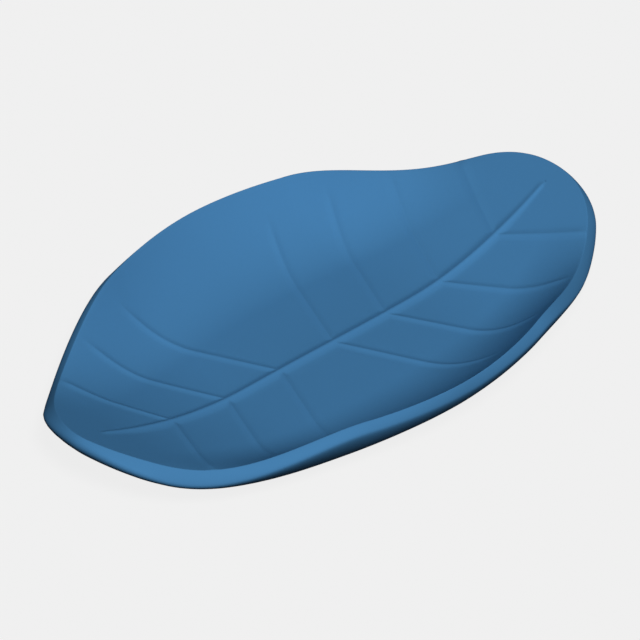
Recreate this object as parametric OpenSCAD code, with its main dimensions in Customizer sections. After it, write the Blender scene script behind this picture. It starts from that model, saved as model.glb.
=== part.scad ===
// Leaf shaped plate: one moulded leaf dish with a thick rounded lip, raised
// veins on its upper surface and a flat resting area underneath.
// X runs along the leaf, Y across it and Z up. The origin lies in the table
// plane, right under the widest point of the leaf.

/* [Leaf outline] */
// from the widest point to the left tip, along the inner edge of the lip
left_len = 123.0; // [100:0.1:140]
// from the widest point to the right tip
right_len = 115.15; // [90:0.1:130]
// half of the greatest width, to the inner edge of the lip
half_w = 71.15; // [50:0.1:90]
// length to where the left sides would meet if the tip were not blunt
left_meet = 144.9; // [142:0.5:190]
// length to where the right sides would meet if the tip were not blunt
right_meet = 138.05; // [132:0.2:180]
// power of the curve of the sides
side_power = 1.868; // [1.6:0.02:2.4]
// how late the left side turns into its tip (more is later)
left_turn = 15.5; // [4:0.5:24]
// how late the right side turns into its tip
right_turn = 24.5; // [10:0.5:40]
// how round the left tip is (0.5 is an ellipse, less is blunter)
left_blunt = 0.56; // [0.3:0.01:0.8]
// how round the right tip is
right_blunt = 0.49; // [0.3:0.01:0.8]

/* [Dish surface] */
// height of the side walls over the floor
rim_h = 21.0; // [10:0.1:30]
// share of the half width that is flat floor
floor_share = 0.45; // [0.3:0.01:0.6]
// power of the curve that the side walls follow
wall_power = 2; // [1.5:0.05:3]
// left side wall starts to sink here, as a share of the half length
left_fade = 0.343; // [0.2:0.001:0.5]
// left side wall is gone here, as a share of the half length
left_fade_end = 0.887; // [0.75:0.001:0.95]
// right side wall starts to sink here, as a share of the half length
right_fade = 0.371; // [0.2:0.001:0.5]
// right side wall is gone here, as a share of the half length
right_fade_end = 0.914; // [0.75:0.001:0.95]
// flat floor to the left of the widest point
left_flat = 39; // [25:0.1:50]
// flat floor to the right of the widest point
right_flat = 39.6; // [25:0.1:45]
// length over which the floor turns up towards the left tip
left_bend = 63.7; // [40:0.1:75]
// length over which the floor turns up towards the right tip
right_bend = 59.9; // [35:0.1:70]
// slope of the left tip, height over length
left_slope = 0.439; // [0.2:0.001:0.6]
// slope of the right tip, height over length
right_slope = 0.488; // [0.2:0.001:0.6]

/* [Wall and lip] */
// thickness of the floor and of the rim at the widest point
wall = 6.4; // [4:0.1:10]
// thickness of the lip towards the left tip
left_wall = 10.8; // [4:0.1:12]
// thickness of the lip towards the right tip
right_wall = 10.5; // [4:0.1:11]
// share of that thickness missing at the very end of the left tip
left_thin = 0.11; // [0:0.01:0.7]
// share of that thickness missing at the very end of the right tip
right_thin = 0.76; // [0:0.01:0.8]
// depth of the rounded outer corner of the lip
lip_round = 2.8; // [1:0.1:3.5]
// how far the rounded corner runs back under the rim
lip_back = 13.7; // [5:0.1:16]
// bulge of the lip face
lip_bulge = 0.75; // [0:0.05:1]
// outward lean of the lip face at the widest point, in degrees (below 0: inward)
side_lean = -37.5; // [-45:0.5:15]
// the same half way to the left tip
left_mid_lean = -11; // [-45:0.5:15]
// the same at the left tip
left_lean = 26; // [0:0.5:35]
// the same half way to the right tip
right_mid_lean = -12.5; // [-45:0.5:15]
// the same at the right tip
right_lean = 12.5; // [0:0.5:25]

/* [Veins] */
// width of the raised middle rib at its foot
rib_w = 7.2; // [3:0.1:9]
// height of the middle rib
rib_rise = 1.2; // [0.3:0.05:2]
// width of the raised side veins at their feet
vein_w = 5.6; // [2:0.1:8]
// height of the side veins
vein_rise = 0.55; // [0.3:0.05:1.5]
// share of its width and height that the middle rib keeps at its ends
rib_taper = 0.5; // [0.2:0.05:1]
// length over which the middle rib gains its full size from either end
rib_grow = 30; // [10:1:50]
// power of the flanks of rib and veins (1 is straight, more is more hollow)
flank_power = 1.7; // [1:0.05:2.5]
// from the left tip to the start of the middle rib
left_gap = 10.5; // [8:0.5:20]
// from the middle rib end to the right tip
right_gap = 6.5; // [5:0.5:14]
// how far the middle rib lies off the middle line at the left tip
left_aside = 1.1; // [-4:0.1:4]
// how far it lies off the middle line at the right tip
right_aside = -2.7; // [-4:0.1:4]
// sideways sway of the middle rib
rib_sway = 0.9; // [0:0.1:3]
// slant of the left side veins at the widest point, length over width
left_slant = 0.38; // [0.3:0.01:0.6]
// slant of the right side veins at the widest point
right_slant = 0.4; // [0.3:0.01:0.6]
// slant that the side veins gain towards the tips
vein_fan = 0.15; // [0:0.01:0.3]
// share of the way to the rim where a vein at the widest point would end
vein_reach = 0.84; // [0.7:0.01:0.85]
// share that the side veins gain towards the tips
reach_gain = 0.25; // [0:0.01:0.3]

/* [Hidden] */

// spacing of the rays on the outline and steps in each tip
ray_step = 9;
tip_steps = 8;
// rows over the dish, over the lip face, round its corner and underneath
dish_rows = 13;
face_rows = 2;
round_rows = 6;
under_rows = 7;
// side veins meet the rim at these shares of the half lengths
left_veins = [-0.768, -0.59, -0.403];
right_veins = [0.284, 0.489, 0.682, 0.868];
// the middle rib sways between these shares of the half lengths
sway_left = 0.95;
sway_mid = 0.5;
sway_right = 0.3;
// side veins fade out over this share of the way to the rim
fade_out = 0.15;
// rays across a side vein, as shares of half its width
vein_offsets = [-1, -0.4, 0, 0.4, 1];

function ease(t) = let (c = min(max(t, 0), 1)) c * c * (3 - 2 * c);
function mix(a, b, t) = a + (b - a) * t;
function unit(p) = p / norm(p);

// half width of the leaf: the sides, rounded off by the blunt tips
function share(x) = x < 0 ? -x / left_len : x / right_len;
function side_y(x) =
    half_w * (1 - pow(abs(x) / (x < 0 ? left_meet : right_meet), side_power));
function tip_cut(x) = share(x) > 0.99999 ? 0 : x < 0
    ? pow(1 - pow(share(x), left_turn), left_blunt)
    : pow(1 - pow(share(x), right_turn), right_blunt);
function edge_y(x) = side_y(x) * tip_cut(x);

// upper surface of the dish, floor at height 0
function turn_up(d, bend) =
    d <= 0 ? 0 : d < bend ? d * d / (2 * bend) : d - bend / 2;
function tip_rise(x) = left_slope * turn_up(-x - left_flat, left_bend)
    + right_slope * turn_up(x - right_flat, right_bend);
function side_h(x) = let (from = x < 0 ? left_fade : right_fade,
        to = x < 0 ? left_fade_end : right_fade_end)
    rim_h * (1 - ease((share(x) - from) / (to - from)));
function climb(r) = pow(max(r - floor_share, 0) / (1 - floor_share), wall_power);
function dish_z(x, y) = let (h = side_h(x))
    tip_rise(x) + (h > 0 ? h * climb(abs(y) / edge_y(x)) : 0);
function dish_up(x, y) = let (s = 0.05) unit([
    (dish_z(x - s, y) - dish_z(x + s, y)) / (2 * s),
    (dish_z(x, y - s) - dish_z(x, y + s)) / (2 * s), 1]);
function under(p, depth) =
    [p[0], p[1], dish_z(p[0], p[1])] - depth * dish_up(p[0], p[1]);

// rays run from the middle rib to the outline along the side veins
half_vein = vein_w / 2;
half_rib = rib_w / 2;
rib_left = -left_len + left_gap;
rib_right = right_len - right_gap;
left_ends = [for (v = left_veins) v * left_len];
right_ends = [for (v = right_veins) v * right_len];
function vein_root(x) =
    x + ((x < 0 ? 1 : -1) * vein_fan * share(x)
        + (x < 0 ? left_slant : -right_slant)) * edge_y(x);
vein_rays = [
    for (x = left_ends) [x, vein_root(x), 1],
    for (x = right_ends) [x, vein_root(x), 1]];
last = len(vein_rays) - 1;

// ray = [x on the outline, x on the rib, share of the vein height]
function flank(t) = pow(max(1 - abs(t), 0), flank_power);
function vein(v) = [for (t = vein_offsets)
    [v[0] + t * half_vein, v[1] + t * half_vein, flank(t)]];
function between(a, b) = let (n = ceil((b[0] - a[0]) / ray_step))
    [for (j = [1:n - 1]) [
        mix(a[0] + half_vein, b[0] - half_vein, j / n),
        mix(a[1] + half_vein, b[1] - half_vein, j / n), 0]];
function tip(x, rib, v, side) = [for (j = [0:tip_steps - 1])
    let (t = 1 - cos(90 * j / tip_steps)) [
        mix(x, v[0] - side * half_vein, t),
        mix(rib, v[1] - side * half_vein, t), 0]];
function back(list) = [for (i = [len(list) - 1:-1:0]) list[i]];
rays = [
    each tip(-left_len, rib_left, vein_rays[0], 1),
    for (i = [0:last]) each [
        each vein(vein_rays[i]),
        each (i < last ? between(vein_rays[i], vein_rays[i + 1]) : [])],
    each back(tip(right_len, rib_right, vein_rays[last], -1))];
ray_count = len(rays);

// one loop round the leaf: front side to the right, rear side back again
loop = [
    for (i = [0:ray_count - 1]) [i, -1],
    for (i = [ray_count - 2:-1:1]) [i, 1]];
loop_count = len(loop);
function ray_at(k) = rays[loop[k][0]];
function rim_xy(k) = let (r = ray_at(k)) [r[0], loop[k][1] * edge_y(r[0])];

// veins and the slight sway of the middle rib
function rib_size(x) = mix(rib_taper, 1, ease(min(x - rib_left, rib_right - x) / rib_grow));
function rib_lift(x, y) = rib_rise * rib_size(x) * flank(y / half_rib / rib_size(x))
    * ease(2 * (x - rib_left) / left_gap) * ease(2 * (rib_right - x) / right_gap);
function sway(x) =
    mix(left_aside, right_aside, (x + left_len) / (left_len + right_len)) + rib_sway
    * ease((x / left_len + sway_left) / (sway_left - sway_mid))
    * ease((sway_right - x / right_len) / (2 * sway_right));
function top_point(p, out, lift) =
    let (y = p[1] + sway(p[0]) * pow(1 - out, 2))
    [p[0], y, dish_z(p[0], p[1]) + max(lift, rib_lift(p[0], p[1]))];
function row_out(k, j) = let (r = ray_at(k), e = rim_xy(k),
        foot = min(half_rib / norm([e[0] - r[1], e[1]]), 0.3))
    j == 1 ? 0.4 * foot
    : mix(foot, 1, pow((j - 2) / (dish_rows - 2), 0.85));
function vein_lift(k, out) = let (r = ray_at(k),
        end = vein_reach + reach_gain * share(r[0]))
    r[2] * vein_rise * (1 - ease((out - end) / fade_out + 1));
rib_points = [for (r = rays) top_point([r[1], 0], 0, 0)];
function dish_row(j) = [for (k = [0:loop_count - 1])
    let (t = row_out(k, j), r = ray_at(k), e = rim_xy(k))
    top_point([mix(r[1], e[0], t), e[1] * t], t, vein_lift(k, t))];

// flat resting area: a smaller leaf inside the flat floor
function rest_xy(k) = let (e = rim_xy(k)) [
    e[0] * 0.95 * (e[0] < 0 ? left_flat / left_len : right_flat / right_len),
    e[1] * 0.9 * floor_share];
function inward(k, d) = let (e = rim_xy(k), b = rest_xy(k))
    e + (b - e) * d / norm(b - e);

// lip: a leaning, slightly bulged face with an elliptic outer corner. It is
// drawn for the wall at the widest point and grows with the wall to the tips,
// but gets thinner again where the tips are cut off.
function growth(k) = let (x = ray_at(k)[0])
    (1 + pow(share(x), 2) * ((x < 0 ? left_wall : right_wall) / wall - 1))
    * (1 - (x < 0 ? left_thin : right_thin) * (1 - pow(tip_cut(x), 2)));
function round_at(k) = mix(wall, lip_round, pow(tip_cut(ray_at(k)[0]), 2));
function lean_at(x) = let (t = share(x))
    side_lean * (1 - t) * (1 - 2 * t)
    + (x < 0 ? left_mid_lean : right_mid_lean) * 4 * t * (1 - t)
    + (x < 0 ? left_lean : right_lean) * t * (2 * t - 1);
function outward(k) = let (
        a = rim_xy((k + loop_count - 1) % loop_count),
        b = rim_xy((k + 1) % loop_count), e = rim_xy(k))
    unit(cross([b[0] - a[0], b[1] - a[1], dish_z(b[0], b[1]) - dish_z(a[0], a[1])],
        dish_up(e[0], e[1])));
function lip_point(k, depth, d) = let (g = growth(k),
        push = lip_bulge * sin(180 * depth / wall) + depth * tan(lean_at(ray_at(k)[0])))
    under(inward(k, g * d), g * depth) + outward(k) * g * push * (1 - d / lip_back);
function face_row(j) = [for (k = [0:loop_count - 1])
    lip_point(k, (wall - round_at(k)) * j / face_rows, 0)];
function round_row(j) = let (a = 90 * j / round_rows)
    [for (k = [0:loop_count - 1])
        lip_point(k, wall - round_at(k) * (1 - sin(a)), lip_back * (1 - cos(a)))];
function under_row(j) = let (t = j / under_rows) [for (k = [0:loop_count - 1])
    let (b = norm(rest_xy(k) - rim_xy(k)), g = growth(k),
        p = under(inward(k, mix(g * lip_back, b, t)), wall * mix(1, g, pow(1 - t, 2))))
    [p[0], p[1], max(p[2], -wall)]];

rows = [
    for (j = [1:dish_rows]) dish_row(j),
    for (j = [1:face_rows]) face_row(j),
    for (j = [1:round_rows]) round_row(j),
    for (j = [1:under_rows]) under_row(j)];
row_count = len(rows);

function at_loop(j, k) = ray_count + j * loop_count + k % loop_count;
function rib_at(k) = loop[k % loop_count][0];
function rib_face(k) = let (a = rib_at(k), b = rib_at(k + 1))
    [[a, b, at_loop(0, k)], [b, at_loop(0, k + 1), at_loop(0, k)]];
function row_face(j, k) = let (a = at_loop(j, k), b = at_loop(j, k + 1),
        c = at_loop(j + 1, k), d = at_loop(j + 1, k + 1))
    [[a, b, c], [b, d, c]];

module plate() {
    points = [each rib_points, for (r = rows) each r];
    faces = [
        for (k = [0:loop_count - 1]) each rib_face(k),
        for (j = [0:row_count - 2]) for (k = [0:loop_count - 1]) each row_face(j, k),
        [for (k = [0:loop_count - 1]) at_loop(row_count - 1, k)]];
    color([0.27, 0.51, 0.71]) translate([0, 0, wall])
        polyhedron(points = points, faces = faces, convexity = 6);
}

plate();
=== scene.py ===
import math

import bpy
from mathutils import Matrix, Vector


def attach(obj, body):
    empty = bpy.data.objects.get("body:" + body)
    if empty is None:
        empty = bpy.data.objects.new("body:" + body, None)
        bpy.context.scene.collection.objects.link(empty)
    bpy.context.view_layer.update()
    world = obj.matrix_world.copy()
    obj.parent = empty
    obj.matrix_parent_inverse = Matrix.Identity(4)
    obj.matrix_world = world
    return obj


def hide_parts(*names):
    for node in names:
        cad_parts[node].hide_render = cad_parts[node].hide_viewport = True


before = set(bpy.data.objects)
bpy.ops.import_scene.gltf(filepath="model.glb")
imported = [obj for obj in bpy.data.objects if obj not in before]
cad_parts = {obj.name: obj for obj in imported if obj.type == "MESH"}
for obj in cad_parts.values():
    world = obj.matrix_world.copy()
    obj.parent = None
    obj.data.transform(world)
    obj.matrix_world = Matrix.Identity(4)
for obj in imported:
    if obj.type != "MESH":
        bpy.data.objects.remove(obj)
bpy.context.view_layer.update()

print("CAD frame loaded")


# A socket of a node tree that can be used in sums. make() adds any other node.
class Wire:
    def __init__(self, tree, socket=None):
        self.tree = tree
        self.socket = socket

    def make(self, kind, settings=None, sockets=None, out=0):
        node = self.tree.nodes.new(kind)
        for name, value in (settings or {}).items():
            setattr(node, name, value)
        for name, value in (sockets or {}).items():
            socket = node.inputs[name]
            if isinstance(value, Wire):
                self.tree.links.new(value.socket, socket)
            else:
                socket.default_value = value
        return Wire(self.tree, None if out is None else node.outputs[out])

    def math(self, operation, first, second=0.0):
        return self.make("ShaderNodeMath", {"operation": operation}, {0: first, 1: second})

    def vector(self, operation, first, second=(0.0, 0.0, 0.0)):
        return self.make("ShaderNodeVectorMath", {"operation": operation}, {0: first, 1: second})

    def scaled(self, factor):
        return self.make("ShaderNodeVectorMath", {"operation": "SCALE"},
                         {0: self, "Scale": factor})

    def part(self, axis):
        return self.make("ShaderNodeSeparateXYZ", None, {0: self}, axis)

    def joined(self, x, y, z):
        return self.make("ShaderNodeCombineXYZ", None, {0: x, 1: y, 2: z})

    def __add__(self, other):
        return self.math("ADD", self, other)

    def __radd__(self, other):
        return self.math("ADD", other, self)

    def __sub__(self, other):
        return self.math("SUBTRACT", self, other)

    def __rsub__(self, other):
        return self.math("SUBTRACT", other, self)

    def __mul__(self, other):
        return self.math("MULTIPLY", self, other)

    def __rmul__(self, other):
        return self.math("MULTIPLY", other, self)

    def __truediv__(self, other):
        return self.math("DIVIDE", self, other)

    def __rtruediv__(self, other):
        return self.math("DIVIDE", other, self)

    def __pow__(self, other):
        return self.math("POWER", self, other)

    def __neg__(self):
        return self.math("MULTIPLY", self, -1.0)

    def __abs__(self):
        return self.math("ABSOLUTE", self)

    def __lt__(self, other):
        return self.math("LESS_THAN", self, other)


# these work on plain numbers and on wires alike
def pick(chosen, yes, no):
    return no + (yes - no) * chosen


def larger(first, second):
    for value in (first, second):
        if isinstance(value, Wire):
            return value.math("MAXIMUM", first, second)
    return max(first, second)


def smaller(first, second):
    return -larger(-first, -second)


def ease(t):
    held = larger(smaller(t, 1.0), 0.0)
    return held * held * (3.0 - 2.0 * held)


# The plate: one moulded leaf dish. Lengths in metres, X along the leaf, Z up.
plateSize = {
    # outline, along the inner edge of the lip
    "leftLength": 0.123,
    "rightLength": 0.11515,
    "halfWidth": 0.07115,
    "leftMeet": 0.1449,
    "rightMeet": 0.13805,
    "sidePower": 1.868,
    "leftTurn": 15.5,
    "rightTurn": 24.5,
    "leftBlunt": 0.56,
    "rightBlunt": 0.49,
    # dish surface
    "rimHeight": 0.021,
    "floorShare": 0.45,  # of the half width is flat
    "wallPower": 2.0,
    "leftFade": 0.343,
    "leftFadeEnd": 0.887,
    "rightFade": 0.371,
    "rightFadeEnd": 0.914,
    "leftFlat": 0.039,
    "rightFlat": 0.0396,
    "leftBend": 0.0637,
    "rightBend": 0.0599,
    "leftSlope": 0.439,
    "rightSlope": 0.488,
    "restLong": 0.95,  # shares of the flat floor that rest on the table
    "restWide": 0.9,
    # wall and lip, leans in radians
    "wall": 0.0064,
    "leftWall": 0.0108,
    "rightWall": 0.0105,
    "leftThin": 0.11,
    "rightThin": 0.76,
    "lipRound": 0.0028,
    "lipBack": 0.0137,
    "lipBulge": 0.00075,
    "lipCorner": 0.00012,
    "sideLean": math.radians(-37.5),
    "leftMidLean": math.radians(-11),
    "leftLean": math.radians(26),
    "rightMidLean": math.radians(-12.5),
    "rightLean": math.radians(12.5),
    # raised veins
    "halfRib": 0.0036,
    "ribRise": 0.0012,
    "ribTaper": 0.5,
    "ribGrow": 0.03,
    "halfVein": 0.0028,
    "veinRise": 0.00055,
    "flankPower": 1.7,
    "leftGap": 0.0105,
    "rightGap": 0.0065,
    "leftAside": 0.0011,
    "rightAside": -0.0027,
    "ribSway": 0.0009,
    "swayLeft": 0.95,
    "swayMid": 0.5,
    "swayRight": 0.3,
    "veinReach": 0.84,
    "reachGain": 0.25,
    "fadeOut": 0.15,
}
plateVeins = {
    # where the side veins meet the rim, as shares of the half length
    "left": (-0.768, -0.59, -0.403),
    "right": (0.284, 0.489, 0.682, 0.868),
    # length over width, and what it gains towards the tips
    "leftSlant": 0.38,
    "rightSlant": 0.4,
    "fan": 0.15,
}
plateMesh = {
    "raySpacing": 0.0016,  # between side veins, in metres
    "tipRays": 26,
    "veinRays": 12,  # rays across one side vein
    "ribRows": 6,
    "dishRows": 56,
    "cornerRows": 3,
    "faceRows": 7,
    "roundRows": 12,
    "underRows": 22,
    "restRows": 3,
    "rowCrowding": 0.85,  # below 1 the dish's rows lie closer towards the rim
    "ribFootLimit": 0.3,  # most of a ray that the rib's rows may take
    "slopeStep": 0.00005,
    "mergeWithin": 2e-6,
}
tiny = 1e-6  # least length to divide by
pastRim = 1.3  # the side wall is followed this far out, as a share of the half width


# how much of the side's width is left where it turns into the tip
def tipCut(x, size):
    left = x < 0.0
    share = smaller(abs(x) / pick(left, size["leftLength"], size["rightLength"]), 1.0)
    turn = pick(left, size["leftTurn"], size["rightTurn"])
    return larger(1.0 - share ** turn, 0.0) ** pick(left, size["leftBlunt"], size["rightBlunt"])


def leafEdge(x, size):
    meet = pick(x < 0.0, size["leftMeet"], size["rightMeet"])
    side = size["halfWidth"] * (1.0 - (abs(x) / meet) ** size["sidePower"])
    return side * tipCut(x, size)


# One point for each ray that runs from the middle rib to the rim: its place on the
# rim, where it starts on the rib, and how much of a side vein's height it carries.
def rayStations():
    size, veins, mesh = plateSize, plateVeins, plateMesh
    half = size["halfVein"]

    def veinRay(share):
        x = share * (size["leftLength"] if share < 0 else size["rightLength"])
        slant = veins["leftSlant"] if share < 0 else -veins["rightSlant"]
        gain = math.copysign(veins["fan"] * share, slant)
        return x, x + (slant + gain) * leafEdge(x, size)

    veinRays = [veinRay(share) for share in veins["left"] + veins["right"]]
    leftTip = (-size["leftLength"], -size["leftLength"] + size["leftGap"])
    rightTip = (size["rightLength"], size["rightLength"] - size["rightGap"])

    def fan(tip, vein, side):
        steps = mesh["tipRays"]
        for step in range(steps):
            t = 1.0 - math.cos(math.pi / 2 * step / steps)
            yield (pick(t, vein[0] - side * half, tip[0]),
                   pick(t, vein[1] - side * half, tip[1]), 0.0)

    rays = list(fan(leftTip, veinRays[0], 1))
    for number, (rim, rib) in enumerate(veinRays):
        for step in range(mesh["veinRays"] + 1):
            offset = 2.0 * step / mesh["veinRays"] - 1.0
            weight = (1.0 - abs(offset)) ** size["flankPower"]
            rays.append((rim + offset * half, rib + offset * half, weight))
        if number + 1 < len(veinRays):
            nextRim, nextRib = veinRays[number + 1]
            steps = math.ceil((nextRim - rim - 2 * half) / mesh["raySpacing"])
            for step in range(1, steps):
                t = step / steps
                rays.append((pick(t, nextRim - half, rim + half),
                             pick(t, nextRib - half, rib + half), 0.0))
    rays.extend(reversed(list(fan(rightTip, veinRays[-1], -1))))
    front = [(x, -leafEdge(x, size), rib, weight) for x, rib, weight in rays]
    rear = [(x, -y, rib, weight) for x, y, rib, weight in reversed(front[1:-1])]
    return front + rear


def makeOutline():
    stations = rayStations()
    mesh = bpy.data.meshes.new("plate")
    mesh.from_pydata([(x, y, 0.0) for x, y, rib, weight in stations], [], [])
    rib = mesh.attributes.new("ribX", "FLOAT", "POINT")
    rib.data.foreach_set("value", [station[2] for station in stations])
    vein = mesh.attributes.new("veinShare", "FLOAT", "POINT")
    vein.data.foreach_set("value", [station[3] for station in stations])
    plate = bpy.data.objects.new("plate", mesh)
    bpy.context.scene.collection.objects.link(plate)
    print("outline:", len(stations), "rays")
    return plate


# a node group whose inputs are sizes of the plate, by name
def newGroup(name, inputs, output):
    tree = bpy.data.node_groups.new(name, "GeometryNodeTree")
    for label in inputs:
        tree.interface.new_socket(label, in_out="INPUT", socket_type="NodeSocketFloat")
    tree.interface.new_socket("Result", in_out="OUTPUT", socket_type=output)
    entry = tree.nodes.new("NodeGroupInput")
    return tree, {label: Wire(tree, entry.outputs[label]) for label in inputs}


def endGroup(result):
    leave = result.tree.nodes.new("NodeGroupOutput")
    result.tree.links.new(result.socket, leave.inputs[0])
    return result.tree


dishSizes = ("leftLength", "rightLength", "halfWidth", "leftMeet", "rightMeet", "sidePower",
             "leftTurn", "rightTurn", "leftBlunt", "rightBlunt", "rimHeight", "floorShare",
             "wallPower", "leftFade", "leftFadeEnd", "rightFade", "rightFadeEnd",
             "leftFlat", "rightFlat", "leftBend", "rightBend", "leftSlope", "rightSlope")


# height of the upper surface over the floor
def makeHeightGroup():
    tree, size = newGroup("dishHeight", ("x", "y") + dishSizes, "NodeSocketFloat")
    x, y = size["x"], size["y"]
    left = x < 0.0
    far = abs(x)
    share = far / pick(left, size["leftLength"], size["rightLength"])
    bend = pick(left, size["leftBend"], size["rightBend"])
    turned = larger(far - pick(left, size["leftFlat"], size["rightFlat"]), 0.0)
    inBend = smaller(turned, bend)
    rise = (inBend * inBend / (2.0 * bend) + larger(turned - bend, 0.0)) \
        * pick(left, size["leftSlope"], size["rightSlope"])
    fade = pick(left, size["leftFade"], size["rightFade"])
    fadeEnd = pick(left, size["leftFadeEnd"], size["rightFadeEnd"])
    sideHeight = size["rimHeight"] * (1.0 - ease((share - fade) / (fadeEnd - fade)))
    outwards = smaller(abs(y) / larger(leafEdge(x, size), tiny), pastRim)
    climb = (larger(outwards - size["floorShare"], 0.0) / (1.0 - size["floorShare"])) \
        ** size["wallPower"]
    return endGroup(rise + sideHeight * climb)


# direction square to the upper surface
def makeNormalGroup(heightGroup):
    tree, size = newGroup("dishNormal", ("x", "y") + dishSizes, "NodeSocketVector")
    start = Wire(tree)
    step = plateMesh["slopeStep"]

    def height(x, y):
        return start.make("GeometryNodeGroup", {"node_tree": heightGroup},
                          {**size, "x": x, "y": y})

    x, y = size["x"], size["y"]
    slopeX = (height(x - step, y) - height(x + step, y)) / (2 * step)
    slopeY = (height(x, y - step) - height(x, y + step)) / (2 * step)
    return endGroup(start.vector("NORMALIZE", start.joined(slopeX, slopeY, 1.0)))


def makeLeafTree(material):
    heightGroup = makeHeightGroup()
    normalGroup = makeNormalGroup(heightGroup)
    tree = bpy.data.node_groups.new("leafDish", "GeometryNodeTree")
    face = tree.interface
    face.new_socket("Outline", in_out="INPUT", socket_type="NodeSocketGeometry")
    face.new_socket("Plate", in_out="OUTPUT", socket_type="NodeSocketGeometry")
    identifiers = {}
    for table, kind in ((plateSize, "NodeSocketFloat"), (plateMesh, "NodeSocketInt")):
        for name, value in table.items():
            if table is plateMesh and not name.endswith("Rows"):
                continue
            socket = face.new_socket(name, in_out="INPUT", socket_type=kind)
            socket.default_value = value
            identifiers[name] = socket.identifier
    entry = tree.nodes.new("NodeGroupInput")
    size = {name: Wire(tree, entry.outputs[name]) for name in identifiers}
    dish = {name: size[name] for name in dishSizes}
    start = Wire(tree)

    def dishHeight(x, y):
        return start.make("GeometryNodeGroup", {"node_tree": heightGroup},
                          {**dish, "x": x, "y": y})

    def dishNormal(x, y):
        return start.make("GeometryNodeGroup", {"node_tree": normalGroup},
                          {**dish, "x": x, "y": y})

    # lift the outline to the rim and find which way is outwards there
    outline = Wire(tree, entry.outputs["Outline"])
    place = start.make("GeometryNodeInputPosition")
    rimX, rimY = place.part(0), place.part(1)
    rim = start.joined(rimX, rimY, dishHeight(rimX, rimY))
    rimLine = start.make("GeometryNodeSetPosition", None, {"Geometry": outline, "Position": rim})
    count = start.make("GeometryNodeAttributeDomainSize", {"component": "MESH"},
                       {"Geometry": rimLine})
    index = start.make("GeometryNodeInputIndex")

    def neighbour(step):
        at = start.math("FLOORED_MODULO", index + step, count)
        return start.make("GeometryNodeFieldAtIndex", {"data_type": "FLOAT_VECTOR"},
                          {"Index": at, "Value": place})

    along = start.vector("SUBTRACT", neighbour(1), neighbour(-1))
    outward = start.vector("NORMALIZE", start.vector(
        "CROSS_PRODUCT", along, dishNormal(rimX, rimY)))
    rimLine = start.make("GeometryNodeStoreNamedAttribute",
                         {"data_type": "FLOAT_VECTOR", "domain": "POINT"},
                         {"Geometry": rimLine, "Name": "outward", "Value": outward})

    # a sheet with a column for each ray and a row for each line round the leaf
    rowKinds = ("dishRows", "cornerRows", "faceRows", "roundRows", "underRows", "restRows")
    rowCount = 1.0
    for kind in rowKinds:
        rowCount = rowCount + size[kind]
    sheet = start.make("GeometryNodeMeshGrid", None, {
        "Size X": 1.0, "Size Y": 1.0, "Vertices X": count + 1, "Vertices Y": rowCount})
    column = start.math("FLOOR", (index + 0.5) / rowCount)
    row = index - column * rowCount
    ray = start.math("FLOORED_MODULO", column, count)

    def phase(first, rows):
        return larger(smaller((row - first) / rows, 1.0), 0.0)

    first = 0.0
    phases = {}
    for kind in rowKinds:
        phases[kind] = phase(first, size[kind])
        first = first + size[kind]
    corner, lipFace = phases["cornerRows"], phases["faceRows"]
    lipRounding, underSide, resting = (
        phases["roundRows"], phases["underRows"], phases["restRows"])

    def onRay(name, dataType):
        if name == "position":
            value = start.make("GeometryNodeInputPosition")
        else:
            value = start.make("GeometryNodeInputNamedAttribute", {"data_type": dataType},
                               {"Name": name})
        return start.make("GeometryNodeSampleIndex", {"data_type": dataType, "domain": "POINT"},
                          {"Geometry": rimLine, "Value": value, "Index": ray})

    rimPoint = onRay("position", "FLOAT_VECTOR")
    rayOut = onRay("outward", "FLOAT_VECTOR")
    ribX = onRay("ribX", "FLOAT")
    veinShare = onRay("veinShare", "FLOAT")
    rimX, rimY = rimPoint.part(0), rimPoint.part(1)
    quarter = math.pi / 2

    # plan point: in towards the rib on top, in towards the resting area below
    rayX, rayY = ribX - rimX, -rimY
    rayLength = start.math("SQRT", rayX * rayX + rayY * rayY)
    ribEnd = smaller(size["halfRib"] / larger(abs(rimY), tiny), plateMesh["ribFootLimit"])
    inRib = phase(0.0, size["ribRows"])
    pastRib = phase(size["ribRows"], size["dishRows"] - size["ribRows"])
    out = ribEnd * inRib + (1.0 - ribEnd) * pastRib ** plateMesh["rowCrowding"]
    cornerIn = size["lipCorner"] * (1.0 - start.math("SINE", corner * quarter))
    topIn = (rayLength - size["lipCorner"]) * (1.0 - out) + cornerIn
    left = rimX < 0.0
    restX = rimX * size["restLong"] * pick(left, size["leftFlat"] / size["leftLength"],
                                           size["rightFlat"] / size["rightLength"])
    restY = rimY * size["restWide"] * size["floorShare"]
    backX, backY = restX - rimX, restY - rimY
    backLength = start.math("SQRT", backX * backX + backY * backY)
    share = abs(rimX) / pick(left, size["leftLength"], size["rightLength"])
    tipWall = pick(left, size["leftWall"], size["rightWall"]) / size["wall"]
    nearTip = 1.0 - tipCut(rimX, size) ** 2.0
    growth = pick(share * share, tipWall, 1.0) \
        * (1.0 - pick(left, size["leftThin"], size["rightThin"]) * nearTip)
    roundCos = start.math("COSINE", lipRounding * quarter)
    underIn = pick(underSide, backLength, growth * size["lipBack"] * (1.0 - roundCos))
    x = rimX + rayX / rayLength * topIn + backX / backLength * underIn
    y = (rimY + rayY / rayLength * topIn + backY / backLength * underIn) * (1.0 - resting)

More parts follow.
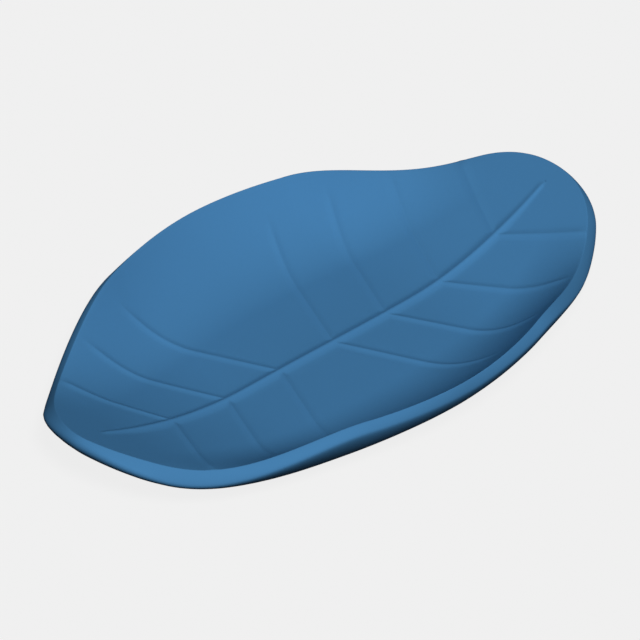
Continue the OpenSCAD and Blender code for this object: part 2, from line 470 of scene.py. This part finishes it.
    # raised veins and the slight sway of the middle rib, on the dish only
    onTop = 1.0 - phase(size["dishRows"], 1.0)
    ribLeft = size["leftGap"] - size["leftLength"]
    ribRight = size["rightLength"] - size["rightGap"]
    ribSize = pick(ease(smaller(x - ribLeft, ribRight - x) / size["ribGrow"]),
                   1.0, size["ribTaper"])
    ribShape = (1.0 - smaller(abs(y) / (size["halfRib"] * ribSize), 1.0)) ** size["flankPower"]
    ribLift = size["ribRise"] * ribSize * ribShape \
        * ease(2.0 * (x - ribLeft) / size["leftGap"]) \
        * ease(2.0 * (ribRight - x) / size["rightGap"])
    outTotal = 1.0 - topIn / rayLength
    veinEnd = size["veinReach"] + size["reachGain"] * share
    veinFade = 1.0 - ease((outTotal - veinEnd) / size["fadeOut"] + 1.0)
    lift = larger(ribLift, size["veinRise"] * veinShare * veinFade) * onTop
    swayFrom = ease((x / size["leftLength"] + size["swayLeft"])
                    / (size["swayLeft"] - size["swayMid"]))
    swayTo = ease((size["swayRight"] - x / size["rightLength"]) / (2.0 * size["swayRight"]))
    lengthwise = (x + size["leftLength"]) / (size["leftLength"] + size["rightLength"])
    aside = pick(lengthwise, size["rightAside"], size["leftAside"])
    swayed = (aside + size["ribSway"] * swayFrom * swayTo) * (1.0 - outTotal) ** 2.0

    # depth under the dish surface, and how far the lip leans and bulges outwards
    rounding = pick(nearTip, size["wall"] - size["lipCorner"], size["lipRound"])
    depth = size["lipCorner"] * (1.0 - start.math("COSINE", corner * quarter)) \
        + (size["wall"] - rounding - size["lipCorner"]) * lipFace \
        + rounding * start.math("SINE", lipRounding * quarter)
    thickness = depth * pick((1.0 - underSide) ** 2.0, growth, 1.0)
    lean = size["sideLean"] * (1.0 - share) * (1.0 - 2.0 * share) \
        + pick(left, size["leftMidLean"], size["rightMidLean"]) * 4.0 * share * (1.0 - share) \
        + pick(left, size["leftLean"], size["rightLean"]) * share * (2.0 * share - 1.0)
    bulge = size["lipBulge"] * start.math("SINE", depth / size["wall"] * math.pi)
    push = (bulge + depth * start.math("TANGENT", lean)) * growth * roundCos

    surface = start.joined(x, y, dishHeight(x, y) + lift)
    below = dishNormal(x, y).scaled(-thickness)
    point = start.vector("ADD", start.vector("ADD", surface, below), rayOut.scaled(push))
    z = larger(point.part(2), -size["wall"]) + size["wall"]
    formed = start.joined(point.part(0), point.part(1) + swayed, z)
    shaped = start.make("GeometryNodeSetPosition", None, {"Geometry": sheet, "Position": formed})

    # painted highlight on the raised veins and painted shade along the lip's inner edge, kept as
    # masks for the material
    for name, value in (("vein", lift / size["ribRise"]),
                        ("lipEdge", 1.0 - abs(corner - 0.5) * 2.0)):
        shaped = start.make("GeometryNodeStoreNamedAttribute",
                            {"data_type": "FLOAT", "domain": "POINT"},
                            {"Geometry": shaped, "Name": name, "Value": value})
    closed = start.make("GeometryNodeMergeByDistance", None,
                        {"Geometry": shaped, "Distance": plateMesh["mergeWithin"]})
    smooth = start.make("GeometryNodeSetShadeSmooth", None, {"Geometry": closed})
    real = start.make("GeometryNodeRealizeInstances", None, {"Geometry": smooth})
    done = start.make("GeometryNodeSetMaterial", None, {"Geometry": real, "Material": material})
    endGroup(done)
    print("leaf tree:", len(tree.nodes), "nodes")
    return tree, identifiers


def newMaterial(name):
    material = bpy.data.materials.new(name)
    material.use_nodes = True
    tree = material.node_tree
    tree.nodes.clear()
    return material, Wire(tree)


plateFinishAndPaintedLight = {
    "blue": (0.065, 0.2232, 0.447),
    "tint": 0.05,
    "roughness": 0.7,
    "specular": 0.6,
    "shine": (0.134, 0.489, 1.0, 1.0),
    "cloudScale": 22.0,
    "cloudDetail": 3.0,
    "cloudSoftness": 0.55,
    "cloudRoughness": 0.12,
    "grainSize": 0.0011,
    "grainDetail": 2.0,
    "grainTint": 0.03,
    "grainHeight": 0.00001,
    "grainStrength": 0.6,
    # painted highlight on the raised veins
    "veinPaintedHighlight": 0.02,
    # painted shade along the lip's inner edge
    "edgePaintedShade": 0.03,
}


def makePlateMaterial():
    finishAndLight = plateFinishAndPaintedLight
    material, start = newMaterial("mattePlastic")
    place = start.make("ShaderNodeTexCoord", None, None, 3)
    cloud = start.make("ShaderNodeTexNoise", None, {
        "Vector": place, "Scale": finishAndLight["cloudScale"], "Detail": finishAndLight["cloudDetail"],
        "Roughness": finishAndLight["cloudSoftness"]})
    grain = start.make("ShaderNodeTexNoise", None, {
        "Vector": place, "Scale": 1.0 / finishAndLight["grainSize"], "Detail": finishAndLight["grainDetail"]})
    vein = start.make("ShaderNodeAttribute", {"attribute_name": "vein"}, None, 2)
    edge = start.make("ShaderNodeAttribute", {"attribute_name": "lipEdge"}, None, 2)
    # random tone, plus the painted highlight on the veins and the painted shade along the lip's
    # edge
    shade = 1.0 + (cloud - 0.5) * finishAndLight["tint"] + (grain - 0.5) * finishAndLight["grainTint"] \
        + vein * finishAndLight["veinPaintedHighlight"] - edge * finishAndLight["edgePaintedShade"]
    base = start.make("ShaderNodeVectorMath", {"operation": "SCALE"},
                      {0: finishAndLight["blue"], "Scale": shade})
    bump = start.make("ShaderNodeBump", None, {
        "Strength": finishAndLight["grainStrength"], "Distance": finishAndLight["grainHeight"],
        "Height": grain})
    shader = start.make("ShaderNodeBsdfPrincipled", None, {
        "Base Color": base,
        "Roughness": finishAndLight["roughness"] + (cloud - 0.5) * finishAndLight["cloudRoughness"],
        "Specular IOR Level": finishAndLight["specular"], "Specular Tint": finishAndLight["shine"],
        "Normal": bump})
    start.make("ShaderNodeOutputMaterial", None, {"Surface": shader}, None)
    return material


def makePlate():
    material = makePlateMaterial()
    plate = makeOutline()
    tree, identifiers = makeLeafTree(material)
    modifier = plate.modifiers.new("leafDish", "NODES")
    modifier.node_group = tree
    for table in (plateSize, plateMesh):
        for name, value in table.items():
            if name in identifiers:
                modifier[identifiers[name]] = value
    bpy.context.view_layer.update()
    graph = bpy.context.evaluated_depsgraph_get()
    mesh = bpy.data.meshes.new_from_object(plate.evaluated_get(graph), depsgraph=graph)
    plate.modifiers.clear()
    plate.data = mesh
    mesh.name = "plate"
    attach(plate, "root")
    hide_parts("plate")
    print("plate:", len(mesh.vertices), "points,", len(mesh.polygons), "faces")


makePlate()


# The stage: a pale floor and an equally pale background, so pale for the camera only.
# The floor keeps a small share of real light, and with it the plate's shadow.
stage = {
    "pale": 0.871,
    "floorGlow": 0.888,
    "floorRadius": 2.4,
    "floorSides": 64,
    "shadowCatcher": 0.9,
    "shadowShare": 0.06,
    "bounce": 0.06,
    "ambient": 0.01,
    "key": 2.76,
    "keyFrom": (-0.388, -0.545, 0.743),
    "keySize": 14.0,  # degrees
    "keyDistance": 2.0,
}


def grey(value):
    return (value, value, value, 1.0)


def makeFloor():
    mesh = bpy.data.meshes.new("floor")
    radius, sides = stage["floorRadius"], stage["floorSides"]
    ring = [(radius * math.cos(2 * math.pi * side / sides),
             radius * math.sin(2 * math.pi * side / sides), 0.0) for side in range(sides)]
    mesh.from_pydata(ring, [], [tuple(range(sides))])
    floor = bpy.data.objects.new("floor", mesh)
    bpy.context.scene.collection.objects.link(floor)
    material, start = newMaterial("paleFloor")
    seen = start.make("ShaderNodeLightPath")
    lit = start.make("ShaderNodeBsdfDiffuse", None, {"Color": grey(stage["shadowCatcher"])})
    dim = start.make("ShaderNodeBsdfDiffuse", None, {"Color": grey(stage["bounce"])})
    glow = start.make("ShaderNodeEmission", None,
                      {"Color": grey(stage["floorGlow"]), "Strength": 1.0})
    view = start.make("ShaderNodeMixShader", None,
                      {0: stage["shadowShare"], 1: glow, 2: lit})
    both = start.make("ShaderNodeMixShader", None, {0: seen, 1: dim, 2: view})
    start.make("ShaderNodeOutputMaterial", None, {"Surface": both}, None)
    floor.data.materials.append(material)


def makeWorld():
    world = bpy.data.worlds.new("paleRoom")
    bpy.context.scene.world = world
    world.use_nodes = True
    world.node_tree.nodes.clear()
    start = Wire(world.node_tree)
    seen = start.make("ShaderNodeLightPath")
    glow = start.make("ShaderNodeBackground", None, {
        "Color": grey(1.0), "Strength": pick(seen, stage["pale"], stage["ambient"])})
    start.make("ShaderNodeOutputWorld", None, {"Surface": glow}, None)


def makeLamp():
    lamp = bpy.data.lights.new("keyLamp", "SUN")
    lamp.energy = stage["key"]
    lamp.angle = math.radians(stage["keySize"])
    towards = Vector(stage["keyFrom"])
    holder = bpy.data.objects.new("keyLamp", lamp)
    holder.rotation_mode = "QUATERNION"
    holder.rotation_quaternion = towards.to_track_quat("Z", "Y")
    holder.location = towards * stage["keyDistance"]
    bpy.context.scene.collection.objects.link(holder)


# The photo's view: isometric, seen by a long lens from far away
photoView = {
    "azimuth": -45.0,
    "elevation": 35.264,
    "distance": 10.7329,
    "target": (0.0013, 0.00414, 0.015),
    "lens": 1700.0,
    "sensor": 36.0,
    "nearest": 1.0,
    "farthest": 40.0,
}


def makeCamera():
    camera = bpy.data.cameras.new("camera")
    camera.lens = photoView["lens"]
    camera.sensor_width = photoView["sensor"]
    camera.clip_start = photoView["nearest"]
    camera.clip_end = photoView["farthest"]
    azimuth = math.radians(photoView["azimuth"])
    elevation = math.radians(photoView["elevation"])
    back = Vector((math.sin(azimuth) * math.cos(elevation),
                   -math.cos(azimuth) * math.cos(elevation), math.sin(elevation)))
    holder = bpy.data.objects.new("camera", camera)
    holder.location = Vector(photoView["target"]) + back * photoView["distance"]
    holder.rotation_mode = "QUATERNION"
    holder.rotation_quaternion = (-back).to_track_quat("-Z", "Y")
    bpy.context.scene.collection.objects.link(holder)
    bpy.context.scene.camera = holder


makeFloor()
makeWorld()
makeLamp()
makeCamera()
bpy.context.scene.view_settings.view_transform = "Standard"
print("stage, lamps and camera made")
